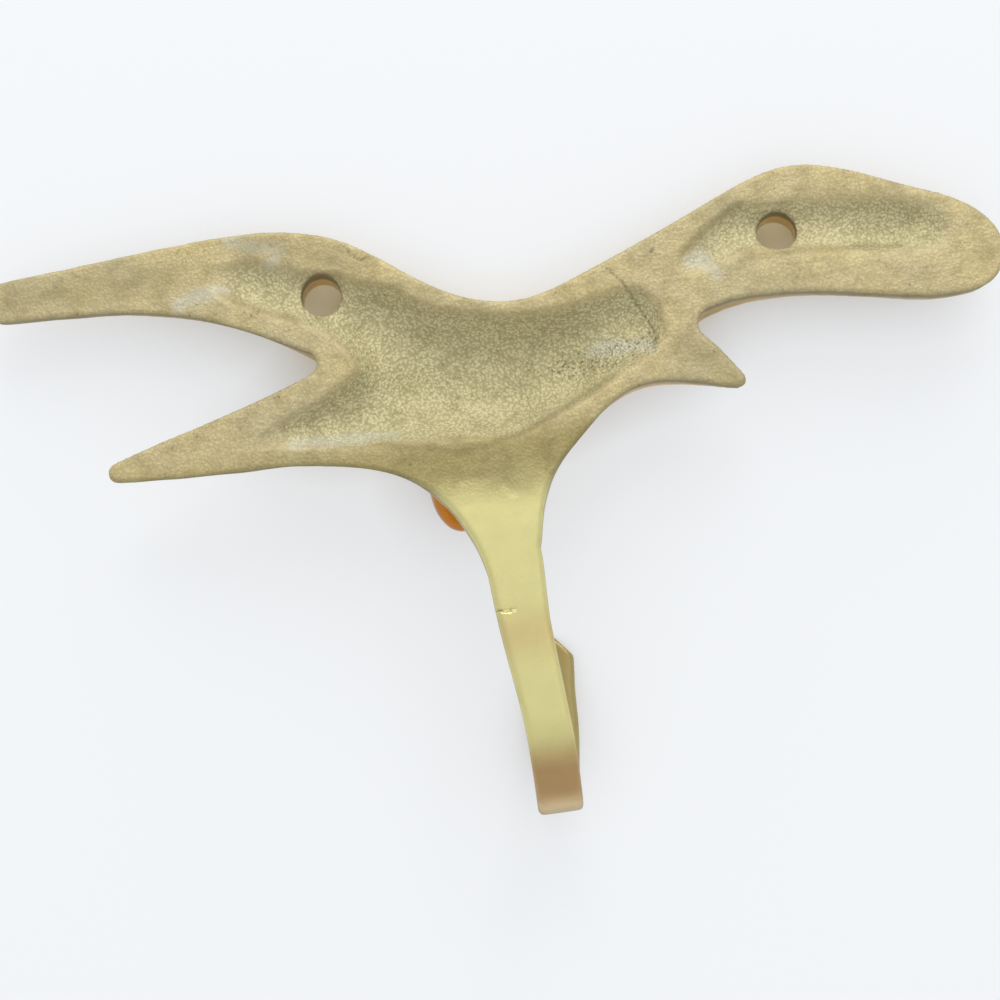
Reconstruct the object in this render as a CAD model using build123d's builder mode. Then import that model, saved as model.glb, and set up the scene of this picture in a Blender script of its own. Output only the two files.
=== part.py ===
from build123d import *
import math
import os

# Wall hook, cast in one piece: a long body in relief with two tapered prongs at one end, a rounded lobe
# and a small fin at the other, hollowed from the back, and a strap that runs down and turns up as a hook.
# Millimetres. X runs to the right seen from the front, Y points into the wall and Z points up.
# The origin lies on the wall, halfway between the two screw holes.
# A depth is measured from the wall towards the front. A place is (along X, along Z) in the front view.

# Fixing to the wall
SCREW_SPACING = 70.5
SCREW_HOLE_DIAMETER = 6.0
COUNTERSINK_DIAMETER = 9.0
COUNTERSINK_ANGLE = 90.0

# Edges of the casting
EDGE_THICKNESS = 2.4
FRONT_ROUND = 0.6
BACK_ROUND = 0.6

# Crests of the relief, how softly its forms run together, and the power of the curve across each
BODY_CREST = 11.5
LOBE_CREST = 9.2
PRONG_CREST = 8.4
FIN_CREST = 6.0
TIP_CREST = 3.9
RELIEF_BLEND = 1.2
RELIEF_POWER = 2

# Hollows in the back, the same for them: the higher power gives a flat floor and steep walls
BODY_HOLLOW = 6.0
PRONG_HOLLOW = 2.1
LOBE_HOLLOW = 3.0
HOLLOW_BLEND = 0.5
HOLLOW_POWER = 3

# Strap hook, and the lower end of the casting that laps into it
HOOK_DROP = 82.5
HOOK_DEPTH = 27.0
HOOK_OFFSET = 9.7
STRAP_THICKNESS = 5.0
STRAP_WIDTH = 7.0
STRAP_ROUND = 0.8
SHANK_WIDTH = 8.3
SHANK_LEAN = 2.0
SHANK_RIGHT_TAPER = 5.0
SHANK_LEFT_TAPER = 2.0
ARM_HEIGHT = 28.2
ARM_LEAN = 1.9
ARM_TIP_THICKNESS = 4.0
WEB_DROP = 54.0
WEB_LAP = 10.0
WEB_TUCK = 0.5

# Round limb in front, from inside the body down to its ball end beside the root of the strap
LIMB_ROOT_RADIUS = 8.0
LIMB_ROOT_DEPTH = 13.3
LIMB_ROOT_PLACE = (7.3, -16)
LIMB_END_RADIUS = 5.0
LIMB_END_DEPTH = 16.0
LIMB_END_PLACE = (8.3, -31.6)

# Rounded ends of the outline: reach and height from the nearer screw hole, radius, start angle and sweep
LONG_PRONG_REACH = 51.8
LONG_PRONG_RISE = 5.3
LONG_PRONG_RADIUS = 3.4
LONG_PRONG_ARC = (-87, 173)
SHORT_PRONG_REACH = 35.4
SHORT_PRONG_DROP = 23.4
SHORT_PRONG_RADIUS = 1.75
SHORT_PRONG_ARC = (-86, 157)
FIN_REACH = 9.5
FIN_DROP = 22.3
FIN_RADIUS = 1.4
FIN_ARC = (148, 136)

# Inner corners of the outline, between the prongs and between the lobe and the fin
CROTCH_PLACE = (3.6, -10.7)
CROTCH_RADIUS = 1.6
CROTCH_ARC = (249, -131)
THROAT_PLACE = (11.9, -13.1)
THROAT_RADIUS = 2.1
THROAT_ARC = (74, -118)

# Runs of the outline, as places from the right screw hole
SHOULDER_RUN = ((21, 10.7), (6, 10.7), (-3, 8.4))
LONG_PRONG_RUN = ((16.5, -2.5), (28.2, 0.6))
SHORT_PRONG_RUN = ((14.6, -16.1),)
HAUNCH_RUN = ((-5.8, -28.9), (8, -26.3))

# Runs of the outline, as places from the left screw hole
NECK_RUN = ((29.2, -1.9), (12.4, 4.9))
LOBE_TOP_RUN = ((2, 9.0), (-3.5, 9.9), (-9.2, 8.9), (-20.5, 4.4))
LOBE_END_RUN = ((-30.8, -1.3), (-33.7, -7.2), (-31.5, -12.3), (-25, -14))
LOBE_UNDER_RUN = ((-15, -12.7), (-3.3, -10.6), (5, -10))
FIN_RUN = ((19, -21.3), (25, -21.5))

# Runs of the outline, as places from the middle of the hook
SADDLE_RUN = ((7.3, -1.8), (-2.7, -5.1))
BELLY_RUN = ((-10.4, -28.3), (-5.2, -33.9), (-2.8, -41.1))
WEB_RUN = ((7.4, -41.5), (13.2, -32.6))

# Sections that carry the sculpted surfaces: their spacing, their points, the depth of the blocks they make
# to each side of the wall, the margin past the outline, and how soon a form levels out past its half width
RELIEF_PITCH = 5.0
RELIEF_POINT_PITCH = 3.2
HOLLOW_PITCH = 1.5
HOLLOW_POINT_PITCH = 1.25
SCULPT_DEPTH = 24.0
SCULPT_MARGIN = 6.0
SCULPT_EASE = 0.35

# Least share of X in the normal of a side of the strap, and how near the wall an edge counts as on it
SIDE_FACING = 0.9
WALL_TOLERANCE = 0.001

right_screw = SCREW_SPACING / 2
left_screw = -SCREW_SPACING / 2


def by_right(along, up):
    """A place measured from the right screw hole."""
    return (right_screw + along, up)


def by_left(along, up):
    """A place measured from the left screw hole."""
    return (left_screw + along, up)


def by_hook(along, up):
    """A place measured along X from the middle of the hook."""
    return (HOOK_OFFSET + along, up)


def placed(measure, run):
    """The places of a run, measured in the way given."""
    return [measure(*place) for place in run]


def heading(angle):
    """A direction at an angle from +X, in degrees."""
    return (math.cos(math.radians(angle)), math.sin(math.radians(angle)))


long_tip = by_right(LONG_PRONG_REACH - LONG_PRONG_RADIUS, LONG_PRONG_RISE)
short_tip = by_right(SHORT_PRONG_REACH - SHORT_PRONG_RADIUS, -SHORT_PRONG_DROP)
fin_tip = by_left(FIN_REACH, -FIN_DROP)
shank_top = WEB_LAP - WEB_DROP

# Ridges of the relief: stations of place, half width and crest depth, along the middle of each form
shoulder_crest = (BODY_CREST + PRONG_CREST) / 2
neck_crest = (BODY_CREST + LOBE_CREST) / 2
prong_middle_crest = (PRONG_CREST + TIP_CREST) / 2
lobe_end_crest = (LOBE_CREST + TIP_CREST) / 2
body_ridge = [
    (by_right(-6, -6), 15.0, shoulder_crest),
    (by_hook(6.3, -14), 15.5, BODY_CREST),
    (by_hook(-6.7, -14.5), 13.5, BODY_CREST),
    (by_left(26.2, -11), 12.5, neck_crest),
    (by_left(16, -6), 11.0, LOBE_CREST),
    (by_left(3, -0.5), 12.0, LOBE_CREST),
    (by_left(-10, -0.5), 12.5, LOBE_CREST),
    (by_left(-22, -4.5), 11.5, LOBE_CREST),
    (by_left(-28, -7), 9.0, lobe_end_crest),
]
long_prong_ridge = [
    (by_right(-4, -1), 13.0, shoulder_crest),
    (by_right(8, 3.5), 9.5, PRONG_CREST),
    (by_right(22, 5), 7.0, prong_middle_crest),
    (long_tip, 4.6, TIP_CREST),
]
short_prong_ridge = [
    (by_hook(8.3, -15), 13.0, BODY_CREST),
    (by_right(1, -18), 9.0, PRONG_CREST),
    (by_right(15, -20.8), 5.8, prong_middle_crest),
    (short_tip, 3.0, TIP_CREST),
]
fin_ridge = [
    (by_left(26.2, -14), 10.0, LOBE_CREST),
    (by_left(17, -18), 6.0, FIN_CREST),
    (fin_tip, 3.0, TIP_CREST),
]
web_ridge = [
    (by_hook(4.3, -20), 13.0, BODY_CREST),
    (by_hook(SHANK_LEAN, shank_top), 14.0, STRAP_THICKNESS + BACK_ROUND),
    (by_hook(SHANK_LEAN, -WEB_DROP), 14.0, STRAP_THICKNESS - BACK_ROUND),
]
relief_ridges = [body_ridge, long_prong_ridge, short_prong_ridge, fin_ridge, web_ridge]

# Valleys of the hollows: stations of place, half width and depth, each running out shallow at its ends
body_valley = [
    (by_left(24.8, -11.5), 6.0, 0.55 * BODY_HOLLOW),
    (by_hook(-9.7, -15), 7.4, 0.9 * BODY_HOLLOW),
    (by_hook(0.3, -16.6), 9.7, BODY_HOLLOW),
    (by_hook(10.3, -14.8), 10.2, 0.95 * BODY_HOLLOW),
    (by_right(-8, -6), 6.2, (BODY_HOLLOW + PRONG_HOLLOW) / 2),
    (by_right(-1, -1.5), 4.3, PRONG_HOLLOW),
    (by_right(10, 2.6), 3.6, 0.8 * PRONG_HOLLOW),
    (by_right(16, 4.6), 2.0, 0.2 * PRONG_HOLLOW),
]
short_prong_valley = [
    (by_hook(10.3, -16), 9.6, 0.9 * BODY_HOLLOW),
    (by_right(-3.5, -19.4), 5.4, 1.7 * PRONG_HOLLOW),
    (by_right(4.5, -20.6), 2.8, 0.9 * PRONG_HOLLOW),
    (by_right(11, -21.6), 1.4, 0.2 * PRONG_HOLLOW),
]
lobe_valley = [
    (by_left(14, -3.4), 2.2, 0.25 * LOBE_HOLLOW),
    (by_left(5, 1.0), 3.8, 0.66 * LOBE_HOLLOW),
    (by_left(-5, 0.2), 3.8, 0.7 * LOBE_HOLLOW),
    (by_left(-16, -1.6), 4.4, LOBE_HOLLOW),
    (by_left(-22.5, -2.9), 3.4, 0.7 * LOBE_HOLLOW),
]


def swell(place, ridges, edge, blend, power):
    """Depth of a smooth surface at a place, from the stations of its ridges.

    Each ridge is a dome across its half width that starts at the edge's depth and levels out beyond.
    """
    depths = []
    for ridge in ridges:
        for (start, start_width, start_depth), (end, end_width, end_depth) in zip(ridge, ridge[1:]):
            run = Vector(end[0] - start[0], end[1] - start[1])
            reach = Vector(place[0] - start[0], place[1] - start[1])
            share = min(1.0, max(0.0, reach.dot(run) / run.dot(run)))
            width = start_width + share * (end_width - start_width)
            crest = start_depth + share * (end_depth - start_depth)
            away = ((reach - run * share).length / width) ** power
            depths.append(edge + (crest - edge) * (1 - away) / (1 + SCULPT_EASE * away))
    deepest = max(depths)
    return deepest + blend * math.log(sum(math.exp((depth - deepest) / blend) for depth in depths))


def relief_depth(place):
    """Depth of the front of the casting at a place, never less than the thickness of its edge."""
    depth = swell(place, relief_ridges, EDGE_THICKNESS, RELIEF_BLEND, RELIEF_POWER)
    return EDGE_THICKNESS + RELIEF_BLEND * math.log(1 + math.exp((depth - EDGE_THICKNESS) / RELIEF_BLEND))


def body_hollow_depth(place):
    """Depth of the hollow behind the body and the prongs, below zero where there is none."""
    return swell(place, [body_valley, short_prong_valley], 0, HOLLOW_BLEND, HOLLOW_POWER)


def lobe_hollow_depth(place):
    """Depth of the hollow behind the lobe, below zero where there is none."""
    return swell(place, [lobe_valley], 0, HOLLOW_BLEND, HOLLOW_POWER)


def sculpted_block(low, high, pitch, point_pitch, depth_at):
    """A block from a surface given by a formula to a plane behind the wall, lofted along X."""
    columns = range(math.floor(low[0] / pitch), math.ceil(high[0] / pitch) + 1)
    rows = range(math.floor(low[1] / point_pitch), math.ceil(high[1] / point_pitch) + 1)
    heights = [row * point_pitch for row in rows]
    shares = [(row - rows[0]) / (rows[-1] - rows[0]) for row in rows]
    with BuildPart() as block:
        for x in [column * pitch for column in columns]:
            with BuildSketch(Plane.YZ.offset(x)):
                with BuildLine():
                    points = [(-depth_at((x, z)), z) for z in heights]
                    add(Edge.make_spline(points, parameters=shares))
                    Polyline(points[-1], (SCULPT_DEPTH, heights[-1]), (SCULPT_DEPTH, heights[0]), points[0])
                make_face()
        loft()
    return block.part


def past(run_low, run_high):
    """Low and high corner of a block that reaches past the places given by the margin."""
    low = (run_low[0] - SCULPT_MARGIN, run_low[1] - SCULPT_MARGIN)
    high = (run_high[0] + SCULPT_MARGIN, run_high[1] + SCULPT_MARGIN)
    return low, high


front_block = sculpted_block(
    *past((left_screw + LOBE_END_RUN[1][0], -WEB_DROP), by_right(LONG_PRONG_REACH, SHOULDER_RUN[0][1])),
    RELIEF_PITCH,
    RELIEF_POINT_PITCH,
    relief_depth,
)
body_hollow = sculpted_block(
    *past((body_valley[0][0][0], BELLY_RUN[0][1]), (body_valley[-1][0][0], body_valley[-1][0][1])),
    HOLLOW_PITCH,
    HOLLOW_POINT_PITCH,
    body_hollow_depth,
)
lobe_hollow = sculpted_block(
    *past((lobe_valley[-1][0][0], lobe_valley[-1][0][1]), (lobe_valley[0][0][0], lobe_valley[1][0][1])),
    HOLLOW_PITCH,
    HOLLOW_POINT_PITCH,
    lobe_hollow_depth,
)

# Strap hook: the side view of the strap cut to its front view, first the shank and then the arm
bend_radius = HOOK_DEPTH / 2
bend_inside = bend_radius - STRAP_THICKNESS
bend_middle = (-bend_radius, bend_radius - HOOK_DROP)
seat_top = STRAP_THICKNESS - HOOK_DROP
shank_left = HOOK_OFFSET + SHANK_LEAN - SHANK_WIDTH / 2
shank_right = HOOK_OFFSET + SHANK_LEAN + SHANK_WIDTH / 2
hook_left = HOOK_OFFSET - STRAP_WIDTH / 2
hook_right = HOOK_OFFSET + STRAP_WIDTH / 2
arm_top = ARM_HEIGHT - HOOK_DROP
arm_slope = math.degrees(math.atan2(ARM_LEAN, ARM_HEIGHT))
arm_end = (HOOK_OFFSET - ARM_LEAN, arm_top - STRAP_WIDTH / 2)
left_heading = heading(-90 + SHANK_LEFT_TAPER)
right_heading = heading(-90 - SHANK_RIGHT_TAPER)

with BuildPart() as shank:
    with BuildSketch(Plane.YZ):
        with BuildLine():
            outer = CenterArc(bend_middle, bend_radius, -90, 90)
            inner = CenterArc(bend_middle, bend_inside, -90, 90)
            Line(outer @ 0, inner @ 0)
            Polyline(outer @ 1, (0, shank_top), (-STRAP_THICKNESS, shank_top), inner @ 1)
        make_face()
    extrude(amount=HOOK_DROP, both=True)
    with BuildSketch(Plane.XZ):
        with BuildLine():
            right_side = Spline(
                (shank_right, shank_top), (hook_right, seat_top), tangents=(right_heading, heading(-90))
            )
            left_side = Spline(
                (shank_left, shank_top), (hook_left, seat_top), tangents=(left_heading, heading(-90))
            )
            Line(right_side @ 0, left_side @ 0)
            Polyline(right_side @ 1, (hook_right, -HOOK_DROP), (hook_left, -HOOK_DROP), left_side @ 1)
        make_face()
    extrude(amount=bend_radius, mode=Mode.INTERSECT)

with BuildPart() as arm:
    with BuildSketch(Plane.YZ):
        with BuildLine():
            outer = CenterArc(bend_middle, bend_radius, -90, -90)
            inner = CenterArc(bend_middle, bend_inside, -90, -90)
            Line(outer @ 0, inner @ 0)
            Polyline(
                outer @ 1, (-HOOK_DEPTH, arm_top), (ARM_TIP_THICKNESS - HOOK_DEPTH, arm_top), inner @ 1
            )
        make_face()
    extrude(amount=HOOK_DROP, both=True)
    with BuildSketch(Plane.XZ.offset(bend_radius)):
        with BuildLine():
            end_arc = CenterArc(arm_end, STRAP_WIDTH / 2, arm_slope, 180)
            right_side = Spline((hook_right, seat_top), end_arc @ 0, tangents=(heading(90), end_arc % 0))
            left_side = Spline(end_arc @ 1, (hook_left, seat_top), tangents=(end_arc % 1, heading(-90)))
            Polyline(right_side @ 0, (hook_right, -HOOK_DROP), (hook_left, -HOOK_DROP), left_side @ 1)
        make_face()
    extrude(amount=bend_radius, mode=Mode.INTERSECT)

with BuildPart() as strap:
    add(shank.part)
    add(arm.part)
    sides = strap.faces().filter_by(lambda face: abs(face.normal_at().X) > SIDE_FACING)
    long_edges = sides.edges().filter_by(Axis.Y, reverse=True).filter_by(Axis.Z, reverse=True)
    fillet(long_edges, radius=STRAP_ROUND)

# Limb: a cone between two balls, both touched by its flank, turned about the line through their middles
limb_root = Vector(HOOK_OFFSET + LIMB_ROOT_PLACE[0], LIMB_ROOT_RADIUS - LIMB_ROOT_DEPTH, LIMB_ROOT_PLACE[1])
limb_end = Vector(HOOK_OFFSET + LIMB_END_PLACE[0], LIMB_END_RADIUS - LIMB_END_DEPTH, LIMB_END_PLACE[1])
limb_length = (limb_end - limb_root).length
limb_plane = Plane(limb_root, x_dir=limb_end - limb_root, z_dir=(limb_end - limb_root).cross(Vector(1, 0, 0)))
flank_angle = math.degrees(math.acos((LIMB_ROOT_RADIUS - LIMB_END_RADIUS) / limb_length))
with BuildPart() as limb:
    with BuildSketch(limb_plane):
        with BuildLine():
            root_arc = CenterArc((0, 0), LIMB_ROOT_RADIUS, flank_angle, 180 - flank_angle)
            end_arc = CenterArc((limb_length, 0), LIMB_END_RADIUS, 0, flank_angle)
            Line(end_arc @ 1, root_arc @ 0)
            Line(root_arc @ 1, end_arc @ 0)
        make_face()
    revolve(axis=Axis(limb_root, limb_end - limb_root))

# Cutter of a screw hole, with its axis along Y and the mouth of its countersink at the origin
hole_radius = SCREW_HOLE_DIAMETER / 2
mouth_radius = COUNTERSINK_DIAMETER / 2
cone_depth = (mouth_radius - hole_radius) / math.tan(math.radians(COUNTERSINK_ANGLE / 2))
with BuildPart() as screw_cutter:
    with BuildSketch(Plane.XY):
        with BuildLine():
            Polyline(
                (0, -SCULPT_DEPTH),
                (mouth_radius, -SCULPT_DEPTH),
                (mouth_radius, 0),
                (hole_radius, cone_depth),
                (hole_radius, SCULPT_DEPTH),
                (0, SCULPT_DEPTH),
                close=True,
            )
        make_face()
    revolve(axis=Axis.Y)

# The casting: its outline drawn counter-clockwise in the front view, cut to the relief in front
left_inset = WEB_LAP * math.tan(math.radians(SHANK_LEFT_TAPER)) + WEB_TUCK
right_inset = WEB_LAP * math.tan(math.radians(SHANK_RIGHT_TAPER)) + WEB_TUCK
web_left = (shank_left + left_inset, -WEB_DROP)
web_right = (shank_right - right_inset, -WEB_DROP)
with BuildPart() as casting:
    with BuildSketch(Plane.XZ):
        with BuildLine():
            long_arc = CenterArc(long_tip, LONG_PRONG_RADIUS, *LONG_PRONG_ARC)
            throat_arc = CenterArc(by_left(*THROAT_PLACE), THROAT_RADIUS, *THROAT_ARC)
            fin_arc = CenterArc(fin_tip, FIN_RADIUS, *FIN_ARC)
            short_arc = CenterArc(short_tip, SHORT_PRONG_RADIUS, *SHORT_PRONG_ARC)
            crotch_arc = CenterArc(by_right(*CROTCH_PLACE), CROTCH_RADIUS, *CROTCH_ARC)
            Spline(
                long_arc @ 1,
                *placed(by_right, SHOULDER_RUN),
                *placed(by_hook, SADDLE_RUN),
                *placed(by_left, NECK_RUN),
                *placed(by_left, LOBE_TOP_RUN),
                *placed(by_left, LOBE_END_RUN),
                *placed(by_left, LOBE_UNDER_RUN),
                throat_arc @ 0,
                tangents=(long_arc % 1, throat_arc % 0),
            )
            Spline(throat_arc @ 1, fin_arc @ 0, tangents=(throat_arc % 1, fin_arc % 0))
            Spline(
                fin_arc @ 1,
                *placed(by_left, FIN_RUN),
                *placed(by_hook, BELLY_RUN),
                web_left,
                tangents=(fin_arc % 1, left_heading),
            )
            Line(web_left, web_right)
            Spline(
                web_right,
                *placed(by_hook, WEB_RUN),
                *placed(by_right, HAUNCH_RUN),
                short_arc @ 0,
                tangents=(Vector(right_heading) * -1, short_arc % 0),
            )
            Spline(
                short_arc @ 1,
                *placed(by_right, SHORT_PRONG_RUN),
                crotch_arc @ 0,
                tangents=(short_arc % 1, crotch_arc % 0),
            )
            Spline(
                crotch_arc @ 1,
                *placed(by_right, LONG_PRONG_RUN),
                long_arc @ 0,
                tangents=(crotch_arc % 1, long_arc % 0),
            )
        make_face()
    extrude(amount=SCULPT_DEPTH)
    add(front_block, mode=Mode.INTERSECT)
    above_web = (Axis.Z, WEB_TUCK - WEB_DROP, HOOK_DROP)
    relief_rim = casting.faces().sort_by(Axis.Y)[0].outer_wire().edges()
    wall_rim = casting.edges().filter_by_position(Axis.Y, -WALL_TOLERANCE, WALL_TOLERANCE)
    fillet(relief_rim.filter_by_position(*above_web), radius=FRONT_ROUND)
    fillet(wall_rim.filter_by_position(*above_web), radius=BACK_ROUND)
    for screw in (left_screw, right_screw):
        with Locations((screw, -relief_depth((screw, 0)), 0)):
            add(screw_cutter.part, mode=Mode.SUBTRACT)
    add(limb.part)
    add(body_hollow, mode=Mode.SUBTRACT)
    add(lobe_hollow, mode=Mode.SUBTRACT)
    add(strap.part)

os.makedirs("parts", exist_ok=True)
casting.part.label = "hook_casting"
export_step(casting.part, "parts/hook_casting.step")
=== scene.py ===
import logging
import math
from dataclasses import dataclass
from enum import Enum

import bmesh
import bpy
from mathutils import Matrix, Vector, kdtree, noise


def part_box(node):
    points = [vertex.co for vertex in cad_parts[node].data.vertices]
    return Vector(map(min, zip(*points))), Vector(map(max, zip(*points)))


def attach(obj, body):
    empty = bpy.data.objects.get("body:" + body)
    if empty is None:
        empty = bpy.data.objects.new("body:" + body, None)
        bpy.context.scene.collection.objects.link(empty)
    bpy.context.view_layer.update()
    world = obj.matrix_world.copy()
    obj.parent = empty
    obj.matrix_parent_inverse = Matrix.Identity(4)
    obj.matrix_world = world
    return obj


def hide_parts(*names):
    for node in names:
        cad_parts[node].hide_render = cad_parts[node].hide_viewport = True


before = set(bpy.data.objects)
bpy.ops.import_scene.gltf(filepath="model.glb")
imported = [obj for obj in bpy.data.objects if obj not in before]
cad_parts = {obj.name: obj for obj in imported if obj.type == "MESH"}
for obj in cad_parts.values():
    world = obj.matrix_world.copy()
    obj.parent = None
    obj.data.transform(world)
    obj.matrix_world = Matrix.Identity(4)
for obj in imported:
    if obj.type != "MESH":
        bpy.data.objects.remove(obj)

LOG = logging.getLogger("wall_hook")
MM = 0.001
Span = tuple[float, float]
Line = tuple[Span, ...]

# The sockets of a Mix node for each kind of data: its share, its two inputs and its output.
MIX_SOCKETS = {"RGBA": (0, 6, 7, 2), "FLOAT": (0, 2, 3, 0)}


def clamp(value: float) -> float:
    """Keeps a value between 0 and 1."""
    return min(1.0, max(0.0, value))


class Mark(Enum):
    """Marks on the back of the casting, kept on its mesh as distances in millimetres."""

    CRACK = "crack_distance"
    CREASE = "crease_distance"
    BLOOM = "bloom_distance"
    PITTED = "pitted_distance"
    STAIN = "stain_distance"


@dataclass(frozen=True)
class Colour:
    """A colour as it is read off a screen, from 0 to 255."""

    red: int
    green: int
    blue: int

    def linear(self) -> tuple[float, float, float, float]:
        """The colour in the linear values that shader sockets take."""
        values = []
        for level in (self.red, self.green, self.blue):
            share = level / 255
            values.append(share / 12.92 if share <= 0.04045 else ((share + 0.055) / 1.055) ** 2.4)
        return (values[0], values[1], values[2], 1.0)


@dataclass(frozen=True)
class SandSkin:
    """The finish of the back: brass as it left the sand, dulled and dirty, with painted shade on its
    edges, hollow walls and creases.
    """

    land: Colour = Colour(197, 184, 143)
    gold: Colour = Colour(214, 195, 139)
    floor: Colour = Colour(214, 205, 160)
    web: Colour = Colour(161, 148, 94)
    # side: painted shade on the edges and hollow walls of the back
    side: Colour = Colour(140, 131, 102)
    # grime: dirt and tarnish, and also the painted shade along the creases
    grime_and_shade: Colour = Colour(120, 106, 66)
    bloom: Colour = Colour(203, 206, 197)
    pit: Colour = Colour(74, 68, 48)
    stain: Colour = Colour(146, 135, 94)
    roughness: float = 0.66
    metallic: float = 0.5
    gold_share: float = 0.55
    streak_share: float = 0.15
    web_share: float = 0.85
    blotch_share: float = 0.16
    # how much darker the low spots of the grain are, on the lands and in the hollows
    land_low_darkening: float = 0.2
    hollow_low_darkening: float = 0.4
    speck_share: float = 0.5
    # edge and wall shares: how strong the painted shade is on edges and hollow walls
    edge_shade_share: float = 0.75
    wall_shade_share: float = 0.3
    bloom_share: float = 0.36
    # crease share: how strong the painted shade along the creases is
    crease_shade_share: float = 0.3
    pit_share: float = 0.52
    crack_share: float = 0.42
    stain_share: float = 0.5


@dataclass(frozen=True)
class WorkedStrap:
    """The finish of the strap: filed smooth, with painted reflections in bands, brown where it bends and
    light at its foot, and painted shade on its edges and in the throat of the arm.
    """

    plain: Colour = Colour(218, 210, 146)
    # warm, bend and foot: painted reflections in bands down the strap
    warm_reflection: Colour = Colour(208, 189, 130)
    bend: Colour = Colour(184, 150, 102)
    foot_reflection: Colour = Colour(216, 190, 142)
    # side: dull tarnish of the strap, and the painted shade on its edges and in the throat of the arm
    side: Colour = Colour(166, 148, 94)
    roughness: float = 0.42
    metallic: float = 0.75
    warm_share: float = 0.8
    blotch_share: float = 0.1
    speck_share: float = 0.25
    edge_shade_share: float = 0.85
    nick_share: float = 0.6


@dataclass(frozen=True)
class PolishedFront:
    """The finish of the front: polished and lacquered, with a painted deep amber reflection of brass on
    brass where the limb lies in shade.
    """

    plain: Colour = Colour(214, 180, 112)
    # limb: painted amber reflection of brass on brass, where the limb lies in shade
    limb: Colour = Colour(186, 118, 38)
    dull: Colour = Colour(158, 122, 66)
    roughness: float = 0.22
    metallic: float = 1.0
    dull_share: float = 0.25


class NodeNet:
    """A short way to place and join the nodes of a material or of a node group."""

    def __init__(self, tree: bpy.types.NodeTree) -> None:
        """Starts on a node tree.

        Args:
            tree: The tree that gets the nodes.
        """
        self.tree = tree

    def add(self, kind: str, **settings: object) -> bpy.types.Node:
        """Places a node and sets its properties.

        Args:
            kind: The node's type, without its ShaderNode prefix.
            settings: Properties of the node.

        Returns:
            The new node.
        """
        node = self.tree.nodes.new(kind if kind.startswith("Node") else f"ShaderNode{kind}")
        for name, value in settings.items():
            setattr(node, name, value)
        return node

    def feed(self, socket: bpy.types.NodeSocket, value: object) -> None:
        """Links an output to a socket, or sets the socket to a constant.

        Args:
            socket: The input that is fed.
            value: An output socket, or a constant.
        """
        if isinstance(value, bpy.types.NodeSocket):
            self.tree.links.new(value, socket)
        else:
            socket.default_value = value

    def math(self, operation: str, first: object, second: object = 0.0) -> bpy.types.NodeSocket:
        """Places a Math node.

        Args:
            operation: The node's operation.
            first: Its first value or output.
            second: Its second value or output.

        Returns:
            The result.
        """
        node = self.add("Math", operation=operation)
        self.feed(node.inputs[0], first)
        self.feed(node.inputs[1], second)
        return node.outputs[0]

    def times(self, *values: object) -> bpy.types.NodeSocket:
        """Multiplies values or outputs with each other."""
        result = values[0]
        for value in values[1:]:
            result = self.math("MULTIPLY", result, value)
        return result

    def ramp(self, value: object, low: float, high: float) -> bpy.types.NodeSocket:
        """Eases a value from 0 at one level to 1 at another and stops there.

        Args:
            value: The value or output to read.
            low: The level that gives 0.
            high: The level that gives 1.

        Returns:
            The result.
        """
        node = self.add("MapRange", interpolation_type="SMOOTHSTEP")
        self.feed(node.inputs["Value"], value)
        node.inputs["From Min"].default_value = low
        node.inputs["From Max"].default_value = high
        return node.outputs["Result"]

    def join(self, kind: str, share: object, first: object, second: object) -> bpy.types.NodeSocket:
        """Places a Mix node.

        Args:
            kind: The kind of data that is mixed.
            share: How much of the second one.
            first: The first colour, value or output.
            second: The second colour, value or output.

        Returns:
            The mixed colour or value.
        """
        node = self.add("Mix", data_type=kind)
        *sockets, result = MIX_SOCKETS[kind]
        for socket, value in zip(sockets, (share, first, second)):
            self.feed(node.inputs[socket], value)
        return node.outputs[result]

    def mix(self, share: object, first: object, second: object) -> bpy.types.NodeSocket:
        """Mixes two colours."""
        return self.join("RGBA", share, first, second)

    def blend(self, share: object, first: object, second: object) -> bpy.types.NodeSocket:
        """Mixes two values."""
        return self.join("FLOAT", share, first, second)

    def flip(self, mask: object) -> bpy.types.NodeSocket:
        """Turns a mask into its opposite."""
        return self.math("SUBTRACT", 1.0, mask)

    def noise(
        self, place: bpy.types.NodeSocket, size: float, detail: float, roughness: float = 0.6
    ) -> bpy.types.NodeSocket:
        """Places a Noise texture.

        Args:
            place: The coordinates, in metres.
            size: The size of its largest features, in millimetres.
            detail: Octaves.
            roughness: How strong the small octaves are.

        Returns:
            The noise, about 0.5 on average.
        """
        node = self.add("TexNoise")
        self.feed(node.inputs["Vector"], place)
        node.inputs["Scale"].default_value = 1 / (size * MM)
        node.inputs["Detail"].default_value = detail
        node.inputs["Roughness"].default_value = roughness
        return node.outputs["Fac"]

    def pebbles(self, place: bpy.types.NodeSocket, size: float) -> bpy.types.NodeSocket:
        """Places a Voronoi texture.

        Args:
            place: The coordinates, in metres.
            size: The size of a cell, in millimetres.

        Returns:
            The distance to the middle of the cell, in cells.
        """
        node = self.add("TexVoronoi", feature="F1")
        self.feed(node.inputs["Vector"], place)
        node.inputs["Scale"].default_value = 1 / (size * MM)
        return node.outputs["Distance"]


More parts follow.
